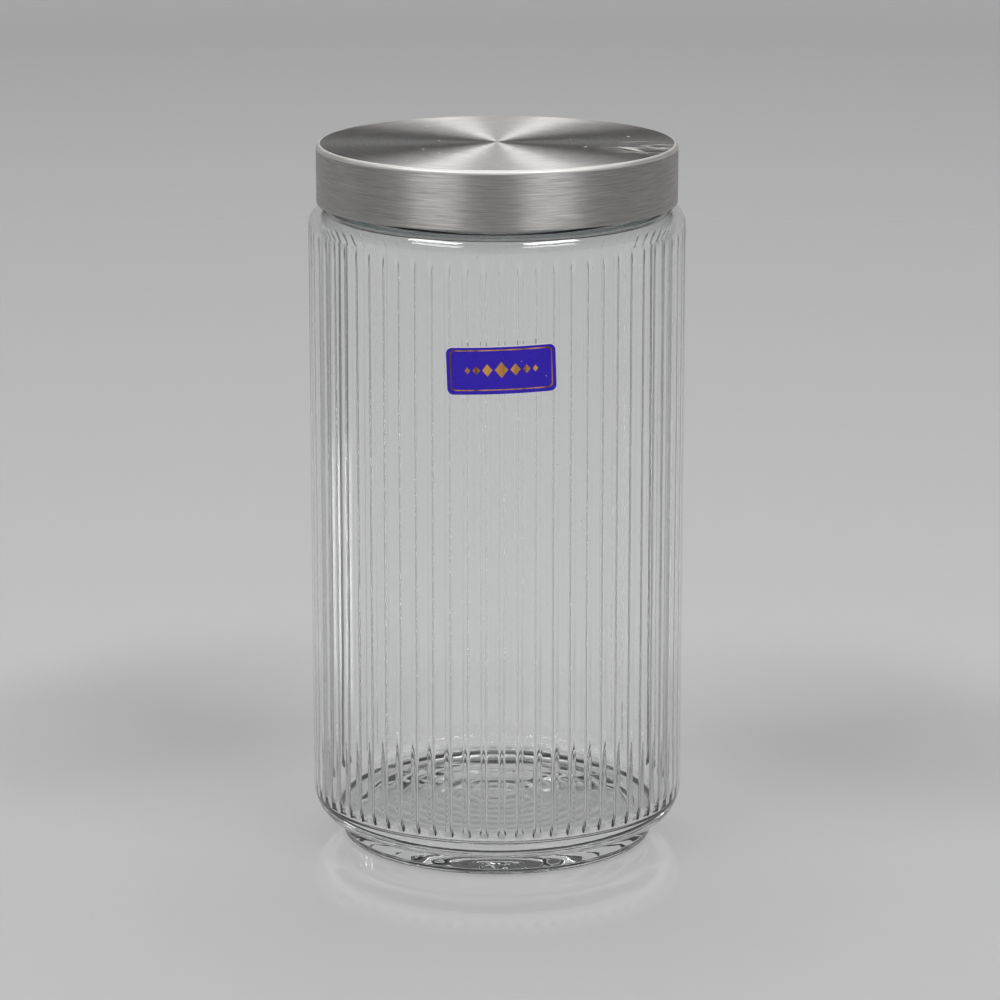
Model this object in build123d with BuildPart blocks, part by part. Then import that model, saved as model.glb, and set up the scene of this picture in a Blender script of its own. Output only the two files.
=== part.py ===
"""Lidded glass canister: an optic-ribbed glass jar with a stainless steel screw lid.

Millimetres, +Z up. The origin is on the jar's axis, in the plane that the foot stands on.
The label faces -Y.
"""
import os
from math import cos, radians, sin, sqrt

from build123d import *

os.makedirs("parts", exist_ok=True)

# Jar, outside
body_diameter = 100.0
straight_wall = 152.4  # from the top of the heel to the start of the shoulder
shoulder_radius = 7.0
neck_step = 5.5  # neck set in from the body's wall
neck_height = 11.9  # rim above the crown of the shoulder
neck_root_radius = 0.8
rim_radius = 1.0
heel_inset = 5.35
heel_rise = 8.5
foot_step = 2.65  # foot ring set in from the heel's lower edge
foot_height = 5.9  # table to the underside of the heel
foot_root_radius = 1.2
foot_edge_radius = 0.8
bearing_width = 5.5  # flat ring that stands on the table
base_hollow = 1.6  # rise of the hollow inside that ring

# Jar, inside
wall = 3.0
floor_thickness = 4.6  # inner floor above the underside of the heel
floor_corner_radius = 4.0
mouth_edge_radius = 1.2
rib_count = 64
rib_width = 1.7
rib_rise = 0.5
rib_run_in = 0.5  # how far a rib runs into the curve that ends it
rib_heading = 1.5  # degrees about the axis, where the first rib stands

# Lid
thread_room = 1.5  # from the neck to the insert, where the two threads pass
insert_wall = 1.2
insert_top_thickness = 1.2
insert_corner_radius = 1.2
steel_thickness = 0.5
lid_edge_radius = 1.1
hem_radius = 0.55
skirt_gap = 0.65  # from the hem to the shoulder
press_clearance = 0.05  # from the shell to the pressed-in insert
hem_clearance = 0.1  # from the hem to the insert that it holds

# Sealing ring and the short collar that keeps it in the lid
ring_thickness = 1.6
ring_width = 4.6
ring_clearance = 0.3  # from the ring to the insert's wall and to the collar
collar_width = 1.0
collar_depth = 2.4

# Label
label_width = 28.2
label_height = 12.5
label_corner_radius = 1.6
label_thickness = 0.12
glue_thickness = 0.15
label_height_above_table = 138.3
label_heading = -88.7  # degrees about the axis, where -90 faces -Y
label_tilt = 2.1  # degrees, right side up

# Heights and radii that follow from these sizes
body_radius = body_diameter / 2
heel_radius = body_radius - heel_inset
foot_radius = heel_radius - foot_step
neck_radius = body_radius - neck_step
crown_radius = body_radius - shoulder_radius
inner_radius = body_radius - wall
mouth_radius = neck_radius - wall
wall_start = foot_height + heel_rise
shoulder_start = wall_start + straight_wall
crown_height = shoulder_start + shoulder_radius
rim_height = crown_height + neck_height
floor_height = foot_height + floor_thickness
inner_shoulder_radius = shoulder_radius - wall
inner_crown_height = crown_height - wall

insert_inner_radius = neck_radius + thread_room
insert_outer_radius = insert_inner_radius + insert_wall
shell_inner_radius = insert_outer_radius + press_clearance
shell_radius = shell_inner_radius + steel_thickness
ring_top = rim_height + ring_thickness
insert_top = ring_top + insert_top_thickness
lid_top = insert_top + steel_thickness
hem_centre_radius = shell_radius - hem_radius
hem_reach = shoulder_radius + hem_radius + skirt_gap
hem_height = shoulder_start + sqrt(hem_reach**2 - (hem_centre_radius - crown_radius) ** 2)
insert_bottom = hem_height + hem_radius + hem_clearance
ring_outer_radius = insert_inner_radius - ring_clearance
ring_inner_radius = ring_outer_radius - ring_width
collar_radius = ring_inner_radius - ring_clearance
from_axis = (Align.MIN, Align.MIN)
quarter_turn = 90.0


# Glass jar: a turned section with the ribs standing on its inner wall
with BuildPart() as glass_jar:
    with BuildSketch(Plane.XZ) as jar_section:
        with BuildLine():
            heel = EllipticalCenterArc((heel_radius, wall_start), heel_inset, heel_rise, 3 * quarter_turn)
            shoulder = CenterArc((crown_radius, shoulder_start), shoulder_radius, 0, quarter_turn)
            Line(heel @ 1, shoulder @ 0)
            Polyline(shoulder @ 1, (0, crown_height), (0, foot_height), heel @ 0)
        make_face()
        Rectangle(foot_radius, foot_height, align=from_axis)
        with Locations((0, shoulder_start)):
            Rectangle(neck_radius, rim_height - shoulder_start, align=from_axis)
        corners = jar_section.vertices()
        fillet(corners.sort_by_distance((neck_radius, crown_height))[0], neck_root_radius)
        fillet(corners.sort_by_distance((foot_radius, foot_height))[0], foot_root_radius)
        fillet(corners.sort_by_distance((foot_radius, 0))[0], foot_edge_radius)
        fillet(corners.sort_by_distance((neck_radius, rim_height))[0], rim_radius)
        with BuildLine():
            hollow = TangentArc((0, base_hollow), (foot_radius - bearing_width, 0), tangent=(1, 0))
            Polyline(hollow @ 1, (0, 0), hollow @ 0)
        make_face(mode=Mode.SUBTRACT)
    revolve(axis=Axis.Z)
    with BuildSketch(Plane.XZ) as cavity_section:
        with Locations((0, floor_height)):
            Rectangle(inner_radius, inner_crown_height - floor_height, align=from_axis)
        inner_corners = cavity_section.vertices()
        fillet(inner_corners.sort_by_distance((inner_radius, floor_height))[0], floor_corner_radius)
        fillet(inner_corners.sort_by_distance((inner_radius, inner_crown_height))[0], inner_shoulder_radius)
        with Locations((0, shoulder_start)):
            Rectangle(mouth_radius, rim_height - shoulder_start, align=from_axis)
        mouth_corner = cavity_section.vertices().sort_by_distance((mouth_radius, inner_crown_height))[0]
        fillet(mouth_corner, mouth_edge_radius)
    revolve(axis=Axis.Z, mode=Mode.SUBTRACT)
    rim_edges = glass_jar.edges().filter_by(GeomType.CIRCLE).group_by(Axis.Z)[-1]
    fillet(rim_edges.sort_by(SortBy.RADIUS)[0], rim_radius)

    # Each rib is a round rod sunk in the wall, which runs out into the curves at its two ends.
    rib_round = (rib_rise**2 + (rib_width / 2) ** 2) / (2 * rib_rise)
    floor_run_out = sqrt(floor_corner_radius**2 - (floor_corner_radius - rib_rise) ** 2)
    shoulder_run_out = sqrt(inner_shoulder_radius**2 - (inner_shoulder_radius - rib_rise) ** 2)
    rib_bottom = floor_height + floor_corner_radius - floor_run_out - rib_run_in
    rib_top = shoulder_start + shoulder_run_out + rib_run_in
    with BuildSketch(Plane.XY.offset(rib_bottom)):
        with PolarLocations(inner_radius - rib_rise + rib_round, rib_count, start_angle=rib_heading):
            Circle(rib_round)
    extrude(amount=rib_top - rib_bottom)
glass_jar.part.label = "glass_jar"
export_step(glass_jar.part, "parts/glass_jar.step")


# Lid shell: a drawn steel cup, turned over, with a hem rolled inward round its open edge
with BuildPart() as lid_shell:
    with BuildSketch(Plane.XZ) as shell_section:
        with Locations((0, hem_height)):
            Rectangle(shell_radius, lid_top - hem_height, align=from_axis)
        top_corner = shell_section.vertices().sort_by_distance((shell_radius, lid_top))[0]
        fillet(top_corner, lid_edge_radius)
    revolve(axis=Axis.Z)
    with BuildSketch(Plane.XZ) as hollow_section:
        with Locations((0, hem_height)):
            Rectangle(shell_inner_radius, insert_top - hem_height, align=from_axis)
        hollow_corner = hollow_section.vertices().sort_by_distance((shell_inner_radius, insert_top))[0]
        fillet(hollow_corner, lid_edge_radius - steel_thickness)
    revolve(axis=Axis.Z, mode=Mode.SUBTRACT)
    with BuildSketch(Plane.XZ):
        with Locations((hem_centre_radius, hem_height)):
            Circle(hem_radius)
    revolve(axis=Axis.Z)
lid_shell.part.label = "lid_shell"
export_step(lid_shell.part, "parts/lid_shell.step")


# Screw insert: a plastic cup pressed into the shell, with the collar that keeps the sealing ring
with BuildPart() as screw_insert:
    with BuildSketch(Plane.XZ) as insert_section:
        with Locations((0, insert_bottom)):
            Rectangle(insert_outer_radius, insert_top - insert_bottom, align=from_axis)
        insert_corner = insert_section.vertices().sort_by_distance((insert_outer_radius, insert_top))[0]
        fillet(insert_corner, insert_corner_radius)
        with Locations((0, insert_bottom)):
            Rectangle(insert_inner_radius, ring_top - insert_bottom, align=from_axis, mode=Mode.SUBTRACT)
        with Locations((collar_radius, ring_top)):
            Rectangle(collar_width, collar_depth, align=(Align.MAX, Align.MAX))
    revolve(axis=Axis.Z)
screw_insert.part.label = "screw_insert"
export_step(screw_insert.part, "parts/screw_insert.step")


# Sealing ring: flat silicone between the rim and the insert
with BuildPart() as sealing_ring:
    with BuildSketch(Plane.XZ) as ring_section:
        with Locations((ring_inner_radius, rim_height)):
            Rectangle(ring_width, ring_thickness, align=from_axis)
    revolve(axis=Axis.Z)
sealing_ring.part.label = "sealing_ring"
export_step(sealing_ring.part, "parts/sealing_ring.step")


# Label: a thin sticker that follows the wall
label_radius = body_radius + glue_thickness
label_outward = (cos(radians(label_heading)), sin(radians(label_heading)), 0)
label_across = (-sin(radians(label_heading)), cos(radians(label_heading)), 0)
label_centre = (0, 0, label_height_above_table)
label_plane = Plane(label_centre, x_dir=label_across, z_dir=label_outward)
with BuildPart() as label:
    with BuildSketch(label_plane):
        RectangleRounded(label_width, label_height, label_corner_radius, rotation=label_tilt)
    extrude(amount=label_radius + label_thickness)
    with BuildSketch(Plane.XY):
        Circle(label_radius + label_thickness)
        Circle(label_radius, mode=Mode.SUBTRACT)
    extrude(amount=shoulder_start, mode=Mode.INTERSECT)
label.part.label = "label"
export_step(label.part, "parts/label.step")
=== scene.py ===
from math import atan2, ceil, cos, exp, hypot, pi, radians, sin, sqrt, tan, tau

import bpy
from bpy.props import FloatProperty, FloatVectorProperty, IntProperty, PointerProperty
from bpy.types import Operator, Panel, PropertyGroup
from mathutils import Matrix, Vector


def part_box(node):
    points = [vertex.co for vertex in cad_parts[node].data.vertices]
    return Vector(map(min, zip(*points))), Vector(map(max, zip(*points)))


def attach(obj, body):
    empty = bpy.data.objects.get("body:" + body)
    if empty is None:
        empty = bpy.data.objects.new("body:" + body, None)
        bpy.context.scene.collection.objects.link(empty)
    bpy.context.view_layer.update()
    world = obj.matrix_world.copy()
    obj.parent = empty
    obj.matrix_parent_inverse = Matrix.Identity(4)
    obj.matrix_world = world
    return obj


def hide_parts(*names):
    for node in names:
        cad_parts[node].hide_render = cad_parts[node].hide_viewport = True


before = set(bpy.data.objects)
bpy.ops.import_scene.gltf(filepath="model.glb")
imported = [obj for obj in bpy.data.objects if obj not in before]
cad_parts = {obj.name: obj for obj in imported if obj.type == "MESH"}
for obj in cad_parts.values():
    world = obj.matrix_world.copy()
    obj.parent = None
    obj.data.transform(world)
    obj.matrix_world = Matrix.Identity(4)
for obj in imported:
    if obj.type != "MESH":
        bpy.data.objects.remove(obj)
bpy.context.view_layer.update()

bl_info = {
    "name": "Lidded glass canister",
    "version": (1, 0, 0),
    "blender": (4, 5, 0),
    "location": "View3D > Sidebar > Canister",
    "description": "Dresses the canister's solids in ribbed glass, spun steel, plastic, silicone and label film",
    "category": "Object",
}

JAR_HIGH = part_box("glass_jar")[1]
SHELL_LOW, SHELL_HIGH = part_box("lid_shell")
INSERT_LOW, INSERT_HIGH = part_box("screw_insert")
RING_LOW, RING_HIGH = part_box("sealing_ring")
LABEL_LOW, LABEL_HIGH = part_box("label")
MM = 0.001


def length(name, description, default):
    """A length in metres that a user may change."""
    return FloatProperty(name=name, description=description, default=default, unit="LENGTH", precision=5)


def angle(name, description, degrees):
    """An angle that a user may change, given here in degrees."""
    return FloatProperty(name=name, description=description, default=radians(degrees), subtype="ANGLE")


def brightness(name, description, default):
    """The brightness of a lamp's face, where 1 is as bright as white paper."""
    return FloatProperty(name=name, description=description, default=default, min=0.0)


def colour(name, description, default):
    """A linear colour that a user may change."""
    return FloatVectorProperty(
        name=name, description=description, default=default, size=3, min=0.0, max=1.0, subtype="COLOR"
    )


class JarSettings(PropertyGroup):
    """Sizes and colours of the glass jar."""

    wall: length("Wall", "Thickness of the glass wall and neck", 3.0 * MM)
    shoulder_radius: length("Shoulder radius", "Outer rounding of the shoulder", 7.0 * MM)
    shoulder_height: length("Shoulder height", "Height at which the wall starts to turn in", 166.8 * MM)
    neck_step: length("Neck step", "How far the neck is set in from the wall", 5.5 * MM)
    neck_root_radius: length("Neck root radius", "Rounding where the neck leaves the shoulder", 0.8 * MM)
    rim_radius: length("Rim radius", "Rounding of the rim", 1.0 * MM)
    heel_inset: length("Heel inset", "How far the rounded heel draws in", 5.35 * MM)
    heel_rise: length("Heel rise", "Height of the rounded heel", 8.5 * MM)
    foot_height: length("Foot height", "Table to the underside of the heel", 5.9 * MM)
    foot_step: length("Foot step", "How far the foot ring is set in from the heel", 2.65 * MM)
    foot_edge_radius: length("Foot edge radius", "Rounding of the foot ring's edges", 0.8 * MM)
    bearing_width: length("Bearing width", "Width of the ring that stands on the table", 5.5 * MM)
    base_hollow: length("Base hollow", "Rise of the hollow under the base", 1.6 * MM)
    floor_height: length("Floor height", "Table to the inner floor", 10.5 * MM)
    floor_corner: length("Floor corner", "Rounding between the floor and the wall", 4.0 * MM)
    mouth_edge: length("Mouth edge", "Rounding inside, where the neck begins", 1.2 * MM)
    ripple_pitch: length("Ripple pitch", "Distance between the ripples on the floor", 4.4 * MM)
    ripple_rise: length("Ripple rise", "Height of the ripples on the floor", 0.15 * MM)
    rib_count: IntProperty(name="Ribs", description="Upright ribs inside the wall", default=64, min=3)
    rib_width: length("Rib width", "Width of a rib at its root", 1.7 * MM)
    rib_rise: length("Rib rise", "Height of a rib above the wall", 0.5 * MM)
    rib_heading: angle("Rib heading", "Where the first rib stands, about the jar's axis", 1.5)
    rib_bottom: length("Rib bottom", "Height of the rounded lower end of the ribs", 12.0 * MM)
    rib_top: length("Rib top", "Height at which the ribs fade out", 167.0 * MM)
    tint: colour("Glass tint", "Colour of the light that the glass lets through", (0.980, 0.990, 0.986))


class ThreadSettings(PropertyGroup):
    """The screw thread that the neck and the insert share."""

    pitch: length("Pitch", "Rise of the thread in one turn", 4.0 * MM)
    rise: length("Rise", "Height of the thread above its wall", 0.62 * MM)
    width: length("Width", "Width of the thread at its root", 2.0 * MM)
    turns: FloatProperty(name="Turns", description="Length of the thread in turns", default=1.3, min=0.1)
    start: length("Start", "Height of the neck thread's lower end above the shoulder", 9.4 * MM)
    run_out: angle("Run-out", "Turn over which each end of the thread fades", 24.0)


class LidSettings(PropertyGroup):
    """Sizes and colours of the lid, its insert and its seal."""

    steel_thickness: length("Steel", "Thickness of the lid's steel", 0.5 * MM)
    edge_radius: length("Edge radius", "Rounding of the lid's top edge", 1.1 * MM)
    hem_radius: length("Hem radius", "Radius of the rolled hem", 0.55 * MM)
    insert_wall: length("Insert wall", "Thickness of the insert's wall and top", 1.2 * MM)
    collar_width: length("Collar width", "Thickness of the collar that keeps the ring", 1.0 * MM)
    collar_depth: length("Collar depth", "Depth of the collar that keeps the ring", 2.4 * MM)
    ring_width: length("Ring width", "Width of the sealing ring", 4.6 * MM)
    ring_clearance: length("Ring clearance", "Room round the sealing ring", 0.3 * MM)
    steel: colour("Steel", "Colour of the brushed steel", (0.52, 0.505, 0.49))
    edge_steel: colour("Edge steel", "Colour of the steel on the rounded edge", (0.78, 0.76, 0.735))
    plastic: colour("Insert plastic", "Colour of the insert", (0.80, 0.80, 0.77))
    silicone: colour("Silicone", "Colour of the sealing ring", (0.70, 0.71, 0.70))


class LabelSettings(PropertyGroup):
    """Sizes and colours of the label."""

    width: length("Width", "Width of the label", 28.2 * MM)
    height: length("Height", "Height of the label", 12.5 * MM)
    corner_radius: length("Corner radius", "Rounding of the label's corners", 1.6 * MM)
    heading: angle("Heading", "Where the label faces, about the jar's axis", -88.7)
    tilt: angle("Tilt", "Turn of the label on the wall", 2.1)
    frame_inset: length("Frame inset", "Distance of the gold frame from the label's edge", 0.95 * MM)
    frame_width: length("Frame width", "Width of the gold frame's line", 0.3 * MM)
    lozenge_width: length("Lozenge width", "Width of the middle lozenge", 3.4 * MM)
    film: colour("Film", "Colour of the label's film", (0.029, 0.006, 0.50))
    foil: colour("Foil", "Colour of the gold foil", (0.86, 0.44, 0.12))


class StageSettings(PropertyGroup):
    """Floor, light and camera."""

    floor: colour("Floor", "Colour of the floor and the wall behind it", (0.62, 0.62, 0.62))
    surround: colour("Surround", "Colour of the room above the wall", (0.10, 0.10, 0.102))
    left_lamp: brightness("Left lamp", "Brightness of the lamp at the front left", 16.4)
    right_lamp: brightness("Right lamp", "Brightness of the lamp at the front right", 17.6)
    top_lamp: brightness("Top lamp", "Brightness of the wide lamp overhead", 1.85)
    low_lamps: brightness("Low lamps", "Brightness of the low lamps that the table mirrors", 30.0)
    camera_distance: length("Camera distance", "Level distance from the jar's axis to the camera", 1053.3 * MM)
    camera_height: length("Camera height", "Height of the camera above the table", 351.5 * MM)
    camera_side: length("Camera side", "How far right of the axis the camera stands", 0.76 * MM)
    camera_pitch: angle("Camera pitch", "How far down the camera looks", 13.845)
    focal_length: FloatProperty(name="Focal length", description="In millimetres", default=145.17)


# Turned meshes


def arc(centre, radius, start, stop, steps):
    """Points of a section on an arc, from one angle to another in degrees."""
    turn = [radians(start + (stop - start) * i / steps) for i in range(steps + 1)]
    radius_r, radius_z = radius if isinstance(radius, tuple) else (radius, radius)
    return [(centre[0] + radius_r * cos(a), centre[1] + radius_z * sin(a)) for a in turn]


def run(start, stop, steps):
    """Points of a section on a straight run, without its first point."""
    shares = [i / steps for i in range(1, steps + 1)]
    return [(start[0] + (stop[0] - start[0]) * t, start[1] + (stop[1] - start[1]) * t) for t in shares]


def outward(section):
    """The normals of a section whose solid lies to the left of its direction."""
    normals = []
    for i in range(len(section)):
        before = section[max(i - 1, 0)]
        after = section[min(i + 1, len(section) - 1)]
        along = Vector((after[0] - before[0], after[1] - before[1]))
        along.normalize()
        normals.append((along.y, -along.x))
    return normals


def even_turn(steps):
    """Evenly spaced angles round the axis, from the back, where a seam shows least."""
    return [pi / 2 + tau * i / steps for i in range(steps)]


def mesh_piece(name, points, faces):
    """A smooth mesh object in the scene, with its hard corners kept sharp."""
    hard_corner = radians(50)
    mesh = bpy.data.meshes.new(name)
    mesh.from_pydata(points, [], faces)
    mesh.shade_smooth()
    mesh.set_sharp_from_angle(angle=hard_corner)
    mesh.validate()
    made = bpy.data.objects.new(name, mesh)
    bpy.context.scene.collection.objects.link(made)
    return made


def turned(name, section, angles, relief=None, few=None, dense=()):
    """A closed mesh turned from a section. relief(angle, radius, height, row) raises the surface.

    Where few is given, only the dense rows have a point at every angle, and the others at those few.
    """
    clear_of_axis = 1e-7
    normals = outward(section)
    points = []
    rows = []
    for i, (radius, height) in enumerate(section):
        columns = few if few and i not in dense else range(len(angles))
        if radius < clear_of_axis:
            rows.append({k: len(points) for k in columns})
            points.append((0.0, 0.0, height))
            continue
        rows.append({k: len(points) + n for n, k in enumerate(columns)})
        for k in columns:
            a = angles[k]
            rise = relief(a, radius, height, i) if relief else 0.0
            r = radius + normals[i][0] * rise
            points.append((r * cos(a), r * sin(a), height + normals[i][1] * rise))
    faces = []
    for low, high in zip(rows, rows[1:]):
        shared = [k for k in low if k in high]
        for start, stop in zip(shared, shared[1:] + [shared[0] + len(angles)]):
            steps = [k % len(angles) for k in range(start, stop + 1)]
            corners = [low[k] for k in steps if k in low] + [high[k] for k in reversed(steps) if k in high]
            corners = list(dict.fromkeys(corners))
            if len(corners) > 2:
                faces.append(corners)
    return mesh_piece(name, points, faces)


def bump(share):
    """A smooth hump: 1 in the middle, 0 at plus and minus 1."""
    return 0.5 + 0.5 * cos(pi * share) if abs(share) < 1.0 else 0.0


def rounded_end(distance, radius):
    """0 before a rounded end, rising on a quarter circle to 1."""
    if distance <= 0.0:
        return 0.0
    return sqrt(1.0 - (1.0 - min(distance / radius, 1.0)) ** 2)


def thread_rise(thread, a, height, start):
    """Height of the thread at an angle and a height, with its ends faded out."""
    turned_by = a % tau
    rise = 0.0
    for extra in range(ceil(thread.turns) + 1):
        along = turned_by + tau * extra
        if along <= tau * thread.turns:
            ends = min(along, tau * thread.turns - along) / thread.run_out
            middle = start + thread.pitch * along / tau
            fade = bump(1.0 - min(ends, 1.0))
            rise = max(rise, fade * bump(2.0 * (height - middle) / thread.width))
    return thread.rise * sqrt(rise)


# Shading helpers


class Shade:
    """Short calls for building one node tree."""

    def __init__(self, tree):
        self.tree = tree

    def add(self, kind, inputs=None, **options):
        """Adds a node, sets its options, and sets or links its inputs."""
        node = self.tree.nodes.new(kind)
        for key, value in options.items():
            setattr(node, key, value)
        for key, value in (inputs or {}).items():
            if isinstance(value, bpy.types.NodeSocket):
                self.link(value, node.inputs[key])
            else:
                node.inputs[key].default_value = value
        return node

    def link(self, value, socket):
        """Joins a value to a node's input."""
        self.tree.links.new(value, socket)

    def math(self, operation, first, second=0.0, clamp=False):
        """One step of arithmetic on one or two values."""
        node = self.add("ShaderNodeMath", {0: first, 1: second}, operation=operation, use_clamp=clamp)
        return node.outputs[0]

    def spread(self, value, low, high, out_low, out_high):
        """Maps a value from one range to another, and holds it there."""
        inputs = {"Value": value, "From Min": low, "From Max": high, "To Min": out_low, "To Max": out_high}
        return self.add("ShaderNodeMapRange", inputs, clamp=True).outputs["Result"]

    def mix(self, share, first, second):
        """A colour between two colours."""
        node = self.add("ShaderNodeMix", data_type="RGBA")
        for socket, value in ((node.inputs[0], share), (node.inputs[6], first), (node.inputs[7], second)):
            if isinstance(value, bpy.types.NodeSocket):
                self.link(value, socket)
            else:
                socket.default_value = value
        return node.outputs[2]


def rgba(value):
    """A colour with full alpha."""
    return (*value, 1.0)


def darkened(value, share):
    """A share of a colour's light."""
    return tuple(share * c for c in value)


def new_group(name, inputs, outputs):
    """An empty shader node group with its sockets."""
    group = bpy.data.node_groups.new(name, "ShaderNodeTree")
    for label, default in inputs:
        group.interface.new_socket(label, in_out="INPUT", socket_type="NodeSocketFloat").default_value = default
    for label in outputs:
        group.interface.new_socket(label, in_out="OUTPUT", socket_type="NodeSocketFloat")
    shade = Shade(group)
    return shade, shade.add("NodeGroupInput").outputs, shade.add("NodeGroupOutput").inputs


def dust_group():
    """Small scattered specks of dust. Specks is a mask."""
    name = "dust specks"
    if name in bpy.data.node_groups:
        return bpy.data.node_groups[name]
    inputs = [("Density", 420.0), ("Size", 0.09), ("Share", 0.06)]
    shade, given, made = new_group(name, inputs, ["Specks"])
    place = shade.add("ShaderNodeTexCoord").outputs["Object"]
    cells = shade.add("ShaderNodeTexVoronoi", {"Vector": place, "Scale": given["Density"]}, feature="F1")
    chance = shade.add("ShaderNodeSeparateColor", {"Color": cells.outputs["Color"]}).outputs[0]
    kept = shade.math("LESS_THAN", chance, given["Share"])
    near = shade.math("LESS_THAN", cells.outputs["Distance"], given["Size"])
    specks = shade.math("MULTIPLY", kept, near)
    shade.link(specks, made["Specks"])
    return shade.tree


def handling_group():
    """Soft cloudy marks that handling leaves. Marks runs from 0 to 1."""
    name = "handling marks"
    if name in bpy.data.node_groups:
        return bpy.data.node_groups[name]
    shade, given, made = new_group(name, [("Scale", 60.0), ("Clear", 0.52)], ["Marks"])
    place = shade.add("ShaderNodeTexCoord").outputs["Object"]
    inputs = {"Vector": place, "Scale": given["Scale"], "Detail": 5.0, "Roughness": 0.6, "Distortion": 0.8}
    cloud = shade.add("ShaderNodeTexNoise", inputs).outputs["Fac"]
    soft_edge = 0.22
    full = shade.math("ADD", given["Clear"], soft_edge)
    shade.link(shade.spread(cloud, given["Clear"], full, 0.0, 1.0), made["Marks"])
    return shade.tree


def mould_group():
    """The fine uneven skin of a moulded or printed piece. Value and Height run from 0 to 1."""
    name = "moulded skin"
    if name in bpy.data.node_groups:
        return bpy.data.node_groups[name]
    shade, given, made = new_group(name, [("Fine", 2600.0), ("Broad", 90.0)], ["Value", "Height"])
    place = shade.add("ShaderNodeTexCoord").outputs["Object"]
    fine = shade.add("ShaderNodeTexNoise", {"Vector": place, "Scale": given["Fine"], "Detail": 3.0})
    broad = shade.add("ShaderNodeTexNoise", {"Vector": place, "Scale": given["Broad"], "Detail": 4.0})
    shade.link(broad.outputs["Fac"], made["Value"])
    shade.link(fine.outputs["Fac"], made["Height"])
    return shade.tree


def new_material(name, **constants):
    """A material with one Principled shader, whose constants are set on its own sockets."""
    material = bpy.data.materials.new(name)
    material.use_nodes = True
    shade = Shade(material.node_tree)
    shader = material.node_tree.nodes["Principled BSDF"]
    for key, value in constants.items():
        shader.inputs[key.replace("_", " ")].default_value = value
    return material, shade, shader


def place_group(shade, group, **inputs):
    """Places a shared effect in a material with its own values."""
    node = shade.add("ShaderNodeGroup", node_tree=group)
    for key, value in inputs.items():
        node.inputs[key].default_value = value
    return node.outputs


def raise_skin(shade, shader, height, strength, distance):
    """Gives a shader's surface the fine relief of a height."""
    skin = shade.add("ShaderNodeBump", {"Strength": strength, "Distance": distance, "Height": height})
    shade.link(skin.outputs["Normal"], shader.inputs["Normal"])


def glass_material(settings):
    """Clear pressed glass: a faint tint, soft waves in the skin, a little dust and a few handling marks."""
    material, shade, shader = new_material(
        "clear pressed glass", Transmission_Weight=1.0, IOR=1.5, Metallic=0.0, Specular_IOR_Level=0.5
    )
    dust = place_group(shade, dust_group(), Density=330.0, Size=0.07, Share=0.035)
    marks = place_group(shade, handling_group(), Scale=38.0, Clear=0.56)
    place = shade.add("ShaderNodeTexCoord").outputs["Object"]
    waves = shade.add("ShaderNodeTexNoise", {"Vector": place, "Scale": 60.0, "Detail": 1.0}).outputs["Fac"]
    pale = tuple(0.5 + 0.5 * c for c in settings.tint)
    tinted = shade.mix(waves, rgba(settings.tint), rgba(pale))
    shade.link(tinted, shader.inputs["Base Color"])
    smear_roughness, speck_roughness, let_through = 0.035, 0.5, 0.92
    smear = shade.math("MULTIPLY", marks["Marks"], smear_roughness)
    speck = shade.math("MULTIPLY", dust["Specks"], speck_roughness)
    shade.link(shade.math("MAXIMUM", smear, speck), shader.inputs["Roughness"])
    raise_skin(shade, shader, waves, strength=0.04, distance=0.15 * MM)
    let_lamps_through(shade, shader, let_through)
    return material


def let_lamps_through(shade, shader, share):
    """Lets a share of the lamps' light straight through each face of the glass, to what is behind it."""
    path = shade.add("ShaderNodeLightPath").outputs
    from_lamp = shade.math("MAXIMUM", path["Is Shadow Ray"], path["Is Diffuse Ray"])
    clear = shade.add("ShaderNodeBsdfTransparent", {"Color": rgba((share,) * 3)}).outputs[0]
    both = shade.add("ShaderNodeMixShader", {0: from_lamp, 1: shader.outputs[0], 2: clear}).outputs[0]
    shade.link(both, shade.tree.nodes["Material Output"].inputs["Surface"])


def steel_material(settings):
    """Brushed steel: grain that runs round the axis, handling marks, and dust and a scuff on the top."""
    dull_colour = (0.74, 0.71, 0.66)
    top_starts, top_full = SHELL_HIGH.z - 0.3 * MM, SHELL_HIGH.z - 0.1 * MM
    material, shade, shader = new_material("brushed steel", Anisotropic=0.95, Anisotropic_Rotation=0.25)
    tangent = shade.add("ShaderNodeTangent", direction_type="RADIAL", axis="Z").outputs["Tangent"]
    shade.link(tangent, shader.inputs["Tangent"])
    place = shade.add("ShaderNodeTexCoord").outputs["Object"]
    split = shade.add("ShaderNodeSeparateXYZ", {"Vector": place}).outputs
    flat = shade.add("ShaderNodeCombineXYZ", {"X": split["X"], "Y": split["Y"]}).outputs[0]
    radius = shade.add("ShaderNodeVectorMath", {0: flat}, operation="LENGTH").outputs["Value"]
    grain = brushed_grain(shade, flat, radius, split["Z"])
    marks = place_group(shade, handling_group(), Scale=55.0, Clear=0.54)
    dust = place_group(shade, dust_group(), Density=260.0, Size=0.12, Share=0.15)
    on_top = shade.spread(split["Z"], top_starts, top_full, 0.0, 1.0)
    settled = shade.math("MAXIMUM", dust["Specks"], scuff_mask(shade, place))
    dull = shade.math("MULTIPLY", settled, on_top)
    dark = darkened(settings.steel, 0.52)
    bright = tuple(min(1.40 * c, 1.0) for c in settings.steel)
    brushed = shade.mix(grain, rgba(dark), rgba(bright))
    shade.link(shade.mix(dull, brushed, rgba(dull_colour)), shader.inputs["Base Color"])
    shade.link(shade.math("SUBTRACT", 1.0, dull), shader.inputs["Metallic"])
    rough = shade.spread(grain, 0.15, 0.85, 0.40, 0.50)
    smeared = shade.math("ADD", rough, shade.math("MULTIPLY", marks["Marks"], 0.05), clamp=True)
    shade.link(smeared, shader.inputs["Roughness"])
    raise_skin(shade, shader, grain, strength=0.22, distance=0.02 * MM)
    return material


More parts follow.
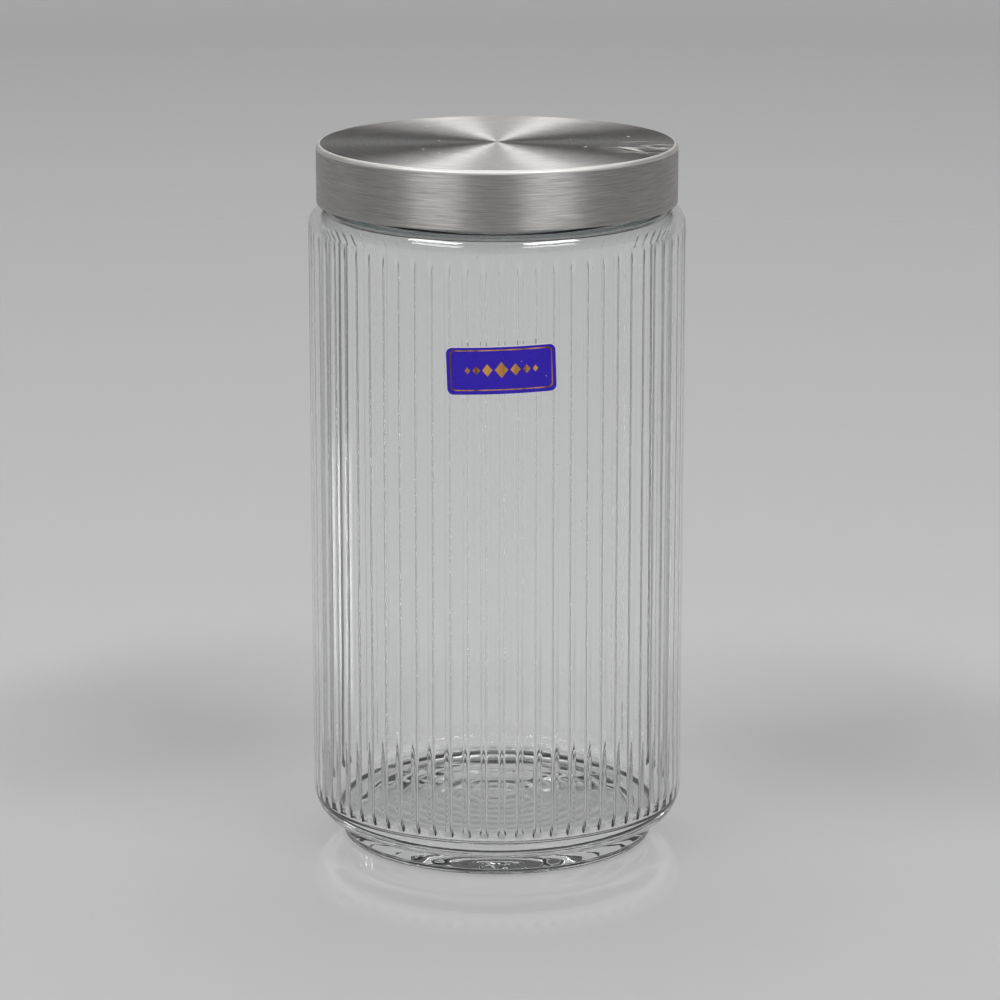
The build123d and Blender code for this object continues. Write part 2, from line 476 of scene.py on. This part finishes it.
def brushed_grain(shade, flat, radius, height):
    """Fine streaks that run round the axis, from 0 to 1."""
    around = shade.add("ShaderNodeVectorMath", {0: flat}, operation="NORMALIZE").outputs["Vector"]
    across = shade.math("ADD", radius, height)
    streaks = []
    for length_count, across_count in ((4.0, 2700.0), (8.0, 5600.0)):
        scaled = {0: around, "Scale": length_count}
        long_way = shade.add("ShaderNodeVectorMath", scaled, operation="SCALE").outputs[0]
        fine_way = shade.math("MULTIPLY", across, across_count)
        raised = shade.add("ShaderNodeCombineXYZ", {"Z": fine_way}).outputs[0]
        streak = shade.add("ShaderNodeVectorMath", {0: long_way, 1: raised}, operation="ADD").outputs[0]
        noise = shade.add("ShaderNodeTexNoise", {"Vector": streak, "Scale": 1.0, "Detail": 2.0, "Roughness": 0.6})
        streaks.append(shade.spread(noise.outputs["Fac"], 0.25, 0.75, 0.0, 1.0))
    return shade.math("MULTIPLY", shade.math("ADD", streaks[0], streaks[1]), 0.5)


def scuff_mask(shade, place):
    """A patch of thin crossing scratches near the right side of the lid's top, as a mask."""
    middle = (38.5 * MM, -10.0 * MM, SHELL_HIGH.z)
    reach = 13.0 * MM
    stroke = (13.0 * MM, 1.3 * MM, 1.0)  # along, across, and no change in height
    headings = (-14.0, 22.0, -50.0)
    fades_in, full = 0.6, 0.66
    away = shade.add("ShaderNodeVectorMath", {0: place, 1: middle}, operation="DISTANCE").outputs["Value"]
    patch = shade.spread(away, 0.3 * reach, reach, 1.0, 0.0)
    lines = 0.0
    for heading in headings:
        turn = {"Vector": place, "Rotation": (0.0, 0.0, radians(heading)), "Scale": stroke}
        along = shade.add("ShaderNodeMapping", turn, vector_type="TEXTURE").outputs["Vector"]
        streaks = shade.add("ShaderNodeTexNoise", {"Vector": along, "Scale": 1.0, "Detail": 1.0}).outputs["Fac"]
        lines = shade.math("MAXIMUM", shade.spread(streaks, fades_in, full, 0.0, 1.0), lines)
    return shade.math("MULTIPLY", lines, patch)


def moulded_material(name, base, low, high, bump_strength, **constants):
    """A moulded skin: broad shifts of shade and roughness, and a fine uneven surface."""
    material, shade, shader = new_material(name, **constants)
    skin = place_group(shade, mould_group())
    darker = darkened(base, 0.9)
    shade.link(shade.mix(skin["Value"], rgba(darker), rgba(base)), shader.inputs["Base Color"])
    shade.link(shade.spread(skin["Value"], 0.3, 0.7, low, high), shader.inputs["Roughness"])
    raise_skin(shade, shader, skin["Height"], strength=bump_strength, distance=0.03 * MM)
    return material


def foil_material(settings):
    """Hot-stamped gold foil: upright bands of painted reflection, dark bronze to gold, and a slightly crinkled
    surface.
    """
    material, shade, shader = new_material("gold foil", Metallic=1.0)
    skin = place_group(shade, mould_group(), Fine=5200.0, Broad=420.0)
    # Painted reflection: the dark bronze bands in the gold stand in for dark surroundings mirrored by the foil.
    painted_reflection_dark = (0.20, 0.085, 0.025)
    bands = (330.0, 330.0, 12.0)
    place = shade.add("ShaderNodeTexCoord").outputs["Object"]
    upright = shade.add("ShaderNodeVectorMath", {0: place, 1: bands}, operation="MULTIPLY").outputs[0]
    painted_reflection_band = shade.add("ShaderNodeTexNoise", {"Vector": upright, "Scale": 1.0, "Detail": 2.0}).outputs["Fac"]
    share = shade.spread(painted_reflection_band, 0.38, 0.62, 0.0, 1.0)
    shade.link(shade.mix(share, rgba(painted_reflection_dark), rgba(settings.foil)), shader.inputs["Base Color"])
    shade.link(shade.spread(skin["Value"], 0.3, 0.7, 0.08, 0.20), shader.inputs["Roughness"])
    raise_skin(shade, shader, skin["Value"], strength=0.5, distance=0.05 * MM)
    return material


def film_material(settings):
    """Printed film under a clear gloss, with a few handling marks and specks of dust."""
    material, shade, shader = new_material(
        "label film", Metallic=0.0, Coat_Weight=0.2, Coat_Roughness=0.05, Specular_IOR_Level=0.25
    )
    skin = place_group(shade, mould_group(), Fine=4200.0, Broad=160.0)
    marks = place_group(shade, handling_group(), Scale=140.0, Clear=0.5)
    dust = place_group(shade, dust_group(), Density=800.0, Size=0.1, Share=0.03)
    darker = darkened(settings.film, 0.84)
    printed = shade.mix(skin["Value"], rgba(darker), rgba(settings.film))
    dust_colour = (0.55, 0.55, 0.65)
    dusty = shade.mix(dust["Specks"], printed, rgba(dust_colour))
    shade.link(dusty, shader.inputs["Base Color"])
    shade.link(shade.spread(marks["Marks"], 0.0, 1.0, 0.22, 0.36), shader.inputs["Roughness"])
    raise_skin(shade, shader, skin["Height"], strength=0.12, distance=0.02 * MM)
    return material


# Pieces


def finish_piece(piece, material, body, node=None):
    """Gives a piece its material and its body, and hides the solid that it stands for."""
    piece.data.materials.append(material)
    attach(piece, body)
    if node:
        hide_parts(node)


def rib_angles(jar):
    """Angles round the axis, close on each rib and wide apart between ribs, and the few that smooth rows need."""
    pitch = tau * (JAR_HIGH.x - jar.wall) / jar.rib_count
    half = jar.rib_width / 2 / pitch
    on_rib = [half * share for share in (0.28, 0.54, 0.76, 0.9, 0.98, 1.04, 1.4)]
    shares = [-share for share in reversed(on_rib)] + [0.0] + on_rib + [0.37, 0.5, 0.63]
    kept = [shares.index(share) for share in (-on_rib[-1], 0.0, on_rib[-1], 0.5)]
    places = [rib + share for rib in range(jar.rib_count) for share in shares]
    few = [rib * len(shares) + k for rib in range(jar.rib_count) for k in kept]
    return [jar.rib_heading + tau * place / jar.rib_count for place in places], few


def jar_section(jar):
    """The jar's outline from the hollow under its base, round the outside, to its inner floor.

    Also gives the rows of the neck's thread and those of the ribs.
    """
    body = JAR_HIGH.x
    rim = JAR_HIGH.z
    heel = body - jar.heel_inset
    foot = heel - jar.foot_step
    neck = body - jar.neck_step
    mouth = neck - jar.wall
    inner = body - jar.wall
    crown = body - jar.shoulder_radius
    inner_shoulder = jar.shoulder_radius - jar.wall
    wall_start = jar.foot_height + jar.heel_rise
    hollow = foot - jar.bearing_width
    edge = jar.foot_edge_radius
    root = jar.neck_root_radius
    neck_start = jar.shoulder_height + sqrt(jar.shoulder_radius**2 - (neck + root - crown) ** 2)
    shoulder_turn = atan2(neck_start - jar.shoulder_height, neck + root - crown) * 180 / pi
    corner = jar.floor_corner
    fade_zone, drop_zone = 6 * MM, 5 * MM  # below the shoulder and above the floor's corner

    section = [(0.0, jar.base_hollow)]
    section += [(hollow * t, jar.base_hollow * (1 - t * t)) for t in (0.15, 0.35, 0.55, 0.7, 0.82, 0.92)]
    section += arc((hollow + edge, edge), edge, 235, 270, 3)
    section += run(section[-1], (foot - edge, 0.0), 2)[:-1]
    section += arc((foot - edge, edge), edge, 270, 360, 5)
    section += arc((foot + edge, jar.foot_height - edge), edge, 180, 90, 5)
    section += arc((heel, wall_start), (jar.heel_inset, jar.heel_rise), 270, 360, 18)
    section += run(section[-1], (body, jar.shoulder_height), 3)[:-1]
    section += arc((crown, jar.shoulder_height), jar.shoulder_radius, 0, shoulder_turn, 14)
    section += arc((neck + root, neck_start + root), root, 270, 180, 5)[1:]
    neck_start_row = len(section)
    section += run(section[-1], (neck, rim - jar.rim_radius), 36)
    neck_rows = range(neck_start_row, len(section))
    section += arc((neck - jar.rim_radius, rim - jar.rim_radius), jar.rim_radius, 0, 90, 6)[1:]
    section += arc((mouth + jar.rim_radius, rim - jar.rim_radius), jar.rim_radius, 90, 180, 6)
    inner_crown = jar.shoulder_height + inner_shoulder
    section += arc((mouth + jar.mouth_edge, inner_crown + jar.mouth_edge), jar.mouth_edge, 180, 270, 6)
    section += arc((crown, jar.shoulder_height), inner_shoulder, 90, 0, 14)
    first_rib_row = len(section) - 1
    section += run(section[-1], (inner, jar.shoulder_height - fade_zone), 6)
    section += run(section[-1], (inner, jar.floor_height + corner + drop_zone), 1)
    section += run(section[-1], (inner, jar.floor_height + corner), 6)[:-1]
    section += arc((inner - corner, jar.floor_height + corner), corner, 0, -90, 18)
    below_ribs = next(i for i, (_, z) in enumerate(section) if i > first_rib_row and z < jar.rib_bottom)
    rib_rows = range(first_rib_row, below_ribs + 1)
    floor_steps = 30
    section += run(section[-1], (0.0, jar.floor_height), floor_steps)
    return section, neck_rows, rib_rows


def rib_relief(jar, a, height):
    """Height of the ribs: rounded ridges with a drop at the lower end, faded at the upper one."""
    end_round = 1.5 * MM
    fade = 6.0 * MM
    drop_height = 1.3 * MM
    drop_width = 0.9 * MM
    swell = 0.4
    pitch = tau * (JAR_HIGH.x - jar.wall) / jar.rib_count
    share = (a - jar.rib_heading) * jar.rib_count / tau
    aside = abs(share - round(share)) * pitch
    above_end = height - jar.rib_bottom
    below_top = jar.rib_top - height
    ends = rounded_end(above_end, end_round) * bump(1.0 - min(below_top / fade, 1.0))
    drop = exp(-(((above_end - drop_height) / drop_width) ** 2))
    half = jar.rib_width / 2 * (1 + swell * drop)
    rise = jar.rib_rise * (1 + swell * drop)
    if aside >= half:
        return 0.0
    rib_round = (rise**2 + half**2) / (2 * rise)
    return ends * (sqrt(rib_round**2 - aside**2) - rib_round + rise)


def ripple_relief(jar, a, radius):
    """Height of the soft rings on the inner floor, slightly out of round."""
    edge = JAR_HIGH.x - jar.wall - jar.floor_corner
    out_of_round, lopsided, twist = 0.35, 0.25, 40
    wander = out_of_round * sin(3 * a + twist * radius / edge) + lopsided * sin(5 * a)
    fade = bump(max(0.0, radius / edge * 5.0 - 4.0))  # over the last fifth
    return jar.ripple_rise * fade * sin(tau * radius / jar.ripple_pitch + wander)


class CANISTER_OT_jar(Operator):
    """Adds the ribbed glass jar with its threaded neck"""

    bl_idname = "canister.add_jar"
    bl_label = "Glass jar"

    def execute(self, context):
        jar = context.scene.canister_jar
        thread = context.scene.canister_thread
        section, neck_rows, rib_rows = jar_section(jar)

        def relief(a, radius, height, row):
            if row in neck_rows:
                return thread_rise(thread, a, height, jar.shoulder_height + thread.start)
            if row in rib_rows:
                return rib_relief(jar, a, height)
            if row >= rib_rows.stop:
                return ripple_relief(jar, a, radius)
            return 0.0

        angles, few = rib_angles(jar)
        piece = turned("ribbed_jar", section, angles, relief, few, rib_rows)
        finish_piece(piece, glass_material(jar), "jar", "glass_jar")
        return {"FINISHED"}


class CANISTER_OT_lid_shell(Operator):
    """Adds the spun steel lid with its rolled hem"""

    bl_idname = "canister.add_lid_shell"
    bl_label = "Steel lid"

    def execute(self, context):
        lid = context.scene.canister_lid
        radius, top, bottom = SHELL_HIGH.x, SHELL_HIGH.z, SHELL_LOW.z
        steel, edge, hem = lid.steel_thickness, lid.edge_radius, lid.hem_radius
        inside, under = radius - steel, top - steel
        hem_place = (radius - hem, bottom + hem)
        hem_join = atan2(sqrt(hem**2 - (hem - steel) ** 2), hem - steel) * 180 / pi
        section = [(0.0, under)]
        section += run(section[-1], (inside - edge + steel, under), 6)
        section += arc((inside - edge + steel, under - edge + steel), edge - steel, 90, 0, 5)[1:]
        section += run(section[-1], (inside, bottom + 2 * hem), 2)
        section += arc(hem_place, hem, hem_join, 360, 20)
        section += run(section[-1], (radius, top - edge), 6)
        edge_start = len(section) - 1
        section += arc((radius - edge, top - edge), edge, 0, 90, 8)[1:]
        edge_stop = len(section) - 1
        section += run(section[-1], (0.0, top), 12)
        columns = 256
        piece = turned("steel_lid", section, even_turn(columns))
        finish_piece(piece, steel_material(lid), "lid", "lid_shell")
        edge_material = moulded_material("rounded steel edge", lid.edge_steel, 0.5, 0.6, 0.1, Metallic=1.0)
        piece.data.materials.append(edge_material)
        for polygon in piece.data.polygons[edge_start * columns : edge_stop * columns]:
            polygon.material_index = 1
        return {"FINISHED"}


class CANISTER_OT_insert(Operator):
    """Adds the plastic screw insert with its thread and collar"""

    bl_idname = "canister.add_insert"
    bl_label = "Screw insert"

    def execute(self, context):
        lid = context.scene.canister_lid
        thread = context.scene.canister_thread
        jar = context.scene.canister_jar
        radius, top, bottom = INSERT_HIGH.x, INSERT_HIGH.z, INSERT_LOW.z
        wall = lid.insert_wall
        inside, under = radius - wall, top - wall
        keeper = inside - 2 * lid.ring_clearance - lid.ring_width
        keeper_inside = keeper - lid.collar_width
        keeper_bottom = under - lid.collar_depth
        soft = 0.25 * MM
        section = [(0.0, under)]
        section += run(section[-1], (keeper_inside - soft, under), 4)
        section += arc((keeper_inside - soft, under - soft), soft, 90, 0, 3)[1:]
        section += run(section[-1], (keeper_inside, keeper_bottom + soft), 2)
        section += arc((keeper_inside + soft, keeper_bottom + soft), soft, 180, 270, 3)[1:]
        section += run(section[-1], (keeper - soft, keeper_bottom), 1)
        section += arc((keeper - soft, keeper_bottom + soft), soft, 270, 360, 3)[1:]
        section += run(section[-1], (keeper, under), 2)
        section += run(section[-1], (inside - soft, under), 3)
        section += arc((inside - soft, under - soft), soft, 90, 0, 3)[1:]
        thread_start_row = len(section)
        section += run(section[-1], (inside, bottom + soft), 40)
        thread_rows = range(thread_start_row, len(section))
        section += arc((inside + soft, bottom + soft), soft, 180, 270, 3)[1:]
        section += run(section[-1], (radius - soft, bottom), 1)
        section += arc((radius - soft, bottom + soft), soft, 270, 360, 3)[1:]
        section += run(section[-1], (radius, top - wall), 3)
        section += arc((radius - wall, top - wall), wall, 0, 90, 5)[1:]
        section += run(section[-1], (0.0, top), 4)

        def relief(a, _radius, height, row):
            if row in thread_rows:
                half_pitch = thread.pitch / 2
                return thread_rise(thread, a, height, jar.shoulder_height + thread.start + half_pitch)
            return 0.0

        columns = 256
        piece = turned("threaded_insert", section, even_turn(columns), relief)
        material = moulded_material("insert plastic", lid.plastic, 0.42, 0.55, 0.15, Specular_IOR_Level=0.5)
        finish_piece(piece, material, "lid", "screw_insert")
        return {"FINISHED"}


class CANISTER_OT_ring(Operator):
    """Adds the silicone sealing ring"""

    bl_idname = "canister.add_ring"
    bl_label = "Sealing ring"

    def execute(self, context):
        lid = context.scene.canister_lid
        outer, low, high = RING_HIGH.x, RING_LOW.z, RING_HIGH.z
        inner = outer - lid.ring_width
        soft = 0.3 * MM
        section = [(inner + soft, low)]
        section += run(section[-1], (outer - soft, low), 5)
        section += arc((outer - soft, low + soft), soft, 270, 360, 4)[1:]
        section += arc((outer - soft, high - soft), soft, 0, 90, 4)
        section += run(section[-1], (inner + soft, high), 5)
        section += arc((inner + soft, high - soft), soft, 90, 180, 4)[1:]
        section += arc((inner + soft, low + soft), soft, 180, 270, 4)
        columns = 192
        piece = turned("silicone_ring", section, even_turn(columns))
        material = moulded_material("silicone", lid.silicone, 0.38, 0.5, 0.1, Subsurface_Weight=0.25)
        finish_piece(piece, material, "seal", "sealing_ring")
        return {"FINISHED"}


def on_label(label, across, up, lift):
    """A point of the label's face, given across and up from its middle, wrapped round the wall."""
    turned_across = across * cos(label.tilt) - up * sin(label.tilt)
    turned_up = across * sin(label.tilt) + up * cos(label.tilt)
    radius = JAR_HIGH.x + lift
    a = label.heading + turned_across / JAR_HIGH.x
    middle = (LABEL_LOW.z + LABEL_HIGH.z) / 2
    return (radius * cos(a), radius * sin(a), middle + turned_up)


def rounded_outline(width, height, radius, spacing):
    """Points round a rectangle with rounded corners, anticlockwise, close enough to wrap round the wall."""
    corner_steps = 6
    points = []
    for turn, (sx, sy) in enumerate(((1, 1), (-1, 1), (-1, -1), (1, -1))):
        centre = (sx * (width / 2 - radius), sy * (height / 2 - radius))
        points += arc(centre, radius, 90 * turn, 90 * turn + 90, corner_steps)
    closed = points + points[:1]
    outline = []
    for start, stop in zip(closed, closed[1:]):
        steps = max(1, round(hypot(stop[0] - start[0], stop[1] - start[1]) / spacing))
        outline += [start] + run(start, stop, steps)[:-1]
    return outline


def plate(label, columns, rows, lift, place=0.0):
    """A thin closed plate that follows the wall: its points, the faces of its front, and its other faces.

    columns gives (across, half height) from left to right, and place moves them sideways.
    """
    points = []
    for level in lift:
        for x, reach in columns:
            points += [on_label(label, place + x, reach * (2 * j / rows - 1), level) for j in range(rows + 1)]
    stride = rows + 1
    last = len(columns) - 1
    back = [[i * stride + j for j in range(stride)] for i in range(len(columns))]
    face = [[k + len(points) // 2 for k in column] for column in back]
    front = []
    rest = []
    for i in range(last):
        for j in range(rows):
            front.append((face[i][j], face[i + 1][j], face[i + 1][j + 1], face[i][j + 1]))
            rest.append((back[i][j], back[i][j + 1], back[i + 1][j + 1], back[i + 1][j]))
        rest.append((back[i][0], back[i + 1][0], face[i + 1][0], face[i][0]))
        rest.append((back[i + 1][rows], back[i][rows], face[i][rows], face[i + 1][rows]))
    for j in range(rows):
        rest.append((back[0][j + 1], back[0][j], face[0][j], face[0][j + 1]))
        rest.append((back[last][j], back[last][j + 1], face[last][j + 1], face[last][j]))
    return points, front, rest


class CANISTER_OT_label(Operator):
    """Adds the film label and its gold ornament"""

    bl_idname = "canister.add_label"
    bl_label = "Label"

    def execute(self, context):
        label = context.scene.canister_label
        film_lift = (0.02 * MM, 0.13 * MM)
        foil_lift = (film_lift[1], film_lift[1] + 0.015 * MM)
        self.add_film(label, film_lift)
        self.add_foil(label, foil_lift)
        return {"FINISHED"}

    def add_film(self, label, lift):
        """The printed plate with its paper edge and back, and a pale painted highlight along the top edge."""
        steps, rows = 60, 40
        half, corner = label.width / 2, label.corner_radius
        columns = []
        for i in range(steps + 1):
            x = half * sin(pi / 2 * (2 * i / steps - 1))
            into_corner = max(0.0, abs(x) - (half - corner))
            columns.append((x, label.height / 2 - corner + sqrt(max(0.0, corner**2 - into_corner**2))))
        points, face, rest = plate(label, columns, rows, lift)
        # The top row of the face is a painted highlight: paper colour along the top edge and upper corners.
        painted_highlight_strip = face[rows - 1 :: rows]
        printed = [corners for corners in face if corners not in painted_highlight_strip]
        piece = mesh_piece("blue_label", points, printed + painted_highlight_strip + rest)
        finish_piece(piece, film_material(label), "jar", "label")
        # Paper colour for the real paper edges and back, and for the painted highlight along the top.
        paper = (0.80, 0.80, 0.82)
        piece.data.materials.append(moulded_material("label paper and painted highlight", paper, 0.45, 0.6, 0.1))
        for polygon in piece.data.polygons[len(printed) :]:
            polygon.material_index = 1

    def add_foil(self, label, lift):
        """A frame line and a row of lozenges, stamped on the film."""
        spacing = 0.8 * MM
        inset = label.frame_inset
        line = label.frame_width
        outer = (label.width - 2 * inset, label.height - 2 * inset)
        outside = rounded_outline(*outer, label.corner_radius - inset / 2, spacing)
        steps = len(outside)
        inside = [(x * (1 - 2 * line / outer[0]), y * (1 - 2 * line / outer[1])) for x, y in outside]
        strip = ((outside, lift[0]), (outside, lift[1]), (inside, lift[1]), (inside, lift[0]))
        points = [on_label(label, x, y, level) for outline, level in strip for x, y in outline]
        faces = []
        for row in range(len(strip)):
            for j in range(steps):
                k = (j + 1) % steps
                low, high = row * steps, (row + 1) % len(strip) * steps
                faces.append((low + j, low + k, high + k, high + j))
        tall, gap, tip, sides = 1.25, 0.6 * MM, 0.03 * MM, 8
        across = 0.0
        for share in (1.0, 0.76, 0.56, 0.42):
            half = share * label.lozenge_width / 2
            across += half if across else 0.0
            for place in {across, -across}:
                xs = [half * (2 * i / sides - 1) for i in range(sides + 1)]
                columns = [(x, max(tip, tall * (half - abs(x)))) for x in xs]
                more, front, rest = plate(label, columns, 1, lift, place)
                faces += [[k + len(points) for k in face] for face in front + rest]
                points += more
            across += half + gap
        piece = mesh_piece("gold_ornament", points, faces)
        finish_piece(piece, foil_material(label), "jar")


def table_material(settings):
    """A plain pale table top, glossy round the jar and matt toward the wall."""
    gloss_ends, matt_starts = 0.7, 1.6
    gloss, matt = 0.08, 0.7
    material, shade, shader = new_material("pale table", Metallic=0.0, Specular_IOR_Level=0.5)
    skin = place_group(shade, mould_group())
    darker = darkened(settings.floor, 0.985)
    shade.link(shade.mix(skin["Value"], rgba(darker), rgba(settings.floor)), shader.inputs["Base Color"])
    place = shade.add("ShaderNodeTexCoord").outputs["Object"]
    away = shade.add("ShaderNodeVectorMath", {0: place}, operation="LENGTH").outputs["Value"]
    shade.link(shade.spread(away, gloss_ends, matt_starts, gloss, matt), shader.inputs["Roughness"])
    return material


def toward(heading, elevation=0.0):
    """The direction of a heading in degrees, which turns from the camera's side to the right."""
    level = cos(radians(elevation))
    return Vector((level * sin(radians(heading)), -level * cos(radians(heading)), sin(radians(elevation))))


def softbox(name, place, aim, size, level, grid=180):
    """A soft lamp that faces a point. A grid keeps its light in a cone of so many degrees."""
    lamp = bpy.data.lights.new(name, "AREA")
    lamp.shape = "RECTANGLE"
    lamp.size, lamp.size_y = size
    lamp.spread = radians(grid)
    kept = 1 - lamp.spread / 2 / tan(lamp.spread / 2) if grid < 180 else 1.0
    lamp.energy = kept * level * pi * size[0] * size[1]
    made = bpy.data.objects.new(name, lamp)
    made.location = place
    made.rotation_euler = (aim - place).to_track_quat("-Z", "Y").to_euler()
    made.visible_camera = False
    bpy.context.scene.collection.objects.link(made)


class CANISTER_OT_stage(Operator):
    """Adds the pale floor, the lamps and the camera"""

    bl_idname = "canister.add_stage"
    bl_label = "Stage"

    def execute(self, context):
        scene = context.scene
        stage = scene.canister_stage
        self.add_cove(stage)
        self.add_lamps(stage)
        world = bpy.data.worlds.new("soft surround")
        world.use_nodes = True
        backdrop = world.node_tree.nodes["Background"]
        backdrop.inputs["Color"].default_value = rgba(stage.surround)
        backdrop.inputs["Strength"].default_value = 1.0
        scene.world = world
        lens = bpy.data.cameras.new("photo_camera")
        lens.lens = stage.focal_length
        lens.sensor_width = 36.0
        camera = bpy.data.objects.new("photo_camera", lens)
        camera.location = (stage.camera_side, -stage.camera_distance, stage.camera_height)
        camera.rotation_euler = (pi / 2 - stage.camera_pitch, 0.0, 0.0)
        scene.collection.objects.link(camera)
        scene.camera = camera
        scene.view_settings.view_transform = "Standard"
        return {"FINISHED"}

    def add_lamps(self, stage):
        """Two lamps in front, a wide one overhead, and three low ones whose grids keep to the table."""
        lid = Vector((0.0, 0.0, SHELL_LOW.z))
        far, overhead = 2.0, 2.1
        front_size, top_size, low_size = (1.0, 0.32), (2.0, 1.6), (0.05, 0.145)
        low_far, low_height, low_aim, low_grid = 1.4, 0.283, 0.34, 12
        softbox("left_lamp", lid + far * toward(-50, 51), lid, front_size, stage.left_lamp)
        softbox("right_lamp", lid + far * toward(43, 51), lid, front_size, stage.right_lamp)
        softbox("top_lamp", lid + overhead * toward(180, 62), lid, top_size, stage.top_lamp)
        for number, heading in enumerate((-105, -112, -119), start=1):
            low = low_far * toward(heading) + Vector((0.0, 0.0, low_height))
            softbox(f"low_lamp_{number}", low, low_aim * toward(heading), low_size, stage.low_lamps, low_grid)

    def add_cove(self, stage):
        """A round floor that curves up into a low wall."""
        floor, bend, top, under_foot = 1.7, 0.5, 0.65, -0.05 * MM
        section = [(0.0, under_foot)]
        section += run(section[-1], (floor, under_foot), 4)
        section += arc((floor, under_foot + bend), bend, -90, 0, 16)[1:]
        section += run(section[-1], (floor + bend, top), 1)
        columns = 128
        cove = turned("pale_cove", section, even_turn(columns))
        cove.data.materials.append(table_material(stage))


class CANISTER_PT_panel(Panel):
    """Lists the canister's pieces and settings"""

    bl_idname = "CANISTER_PT_panel"
    bl_label = "Lidded glass canister"
    bl_space_type = "VIEW_3D"
    bl_region_type = "UI"
    bl_category = "Canister"

    def draw(self, context):
        layout = self.layout
        for piece in PIECES:
            layout.operator(piece.bl_idname)
        for attribute, settings in SETTINGS.items():
            box = layout.box()
            box.label(text=settings.__doc__)
            for name in settings.__annotations__:
                box.prop(getattr(context.scene, attribute), name)


SETTINGS = {
    "canister_jar": JarSettings,
    "canister_thread": ThreadSettings,
    "canister_lid": LidSettings,
    "canister_label": LabelSettings,
    "canister_stage": StageSettings,
}
PIECES = (
    CANISTER_OT_jar,
    CANISTER_OT_label,
    CANISTER_OT_ring,
    CANISTER_OT_insert,
    CANISTER_OT_lid_shell,
    CANISTER_OT_stage,
)


def register():
    """Registers the settings, the operators and the panel."""
    for attribute, settings in SETTINGS.items():
        bpy.utils.register_class(settings)
        setattr(bpy.types.Scene, attribute, PointerProperty(type=settings))
    for made in (*PIECES, CANISTER_PT_panel):
        bpy.utils.register_class(made)


def unregister():
    """Removes what register added."""
    for made in (CANISTER_PT_panel, *reversed(PIECES)):
        bpy.utils.unregister_class(made)
    for attribute, settings in SETTINGS.items():
        delattr(bpy.types.Scene, attribute)
        bpy.utils.unregister_class(settings)


def main():
    """Builds every piece and the stage."""
    register()
    bpy.ops.canister.add_jar()
    bpy.ops.canister.add_label()
    bpy.ops.canister.add_ring()
    bpy.ops.canister.add_insert()
    bpy.ops.canister.add_lid_shell()
    bpy.ops.canister.add_stage()


if __name__ == "__main__":
    main()
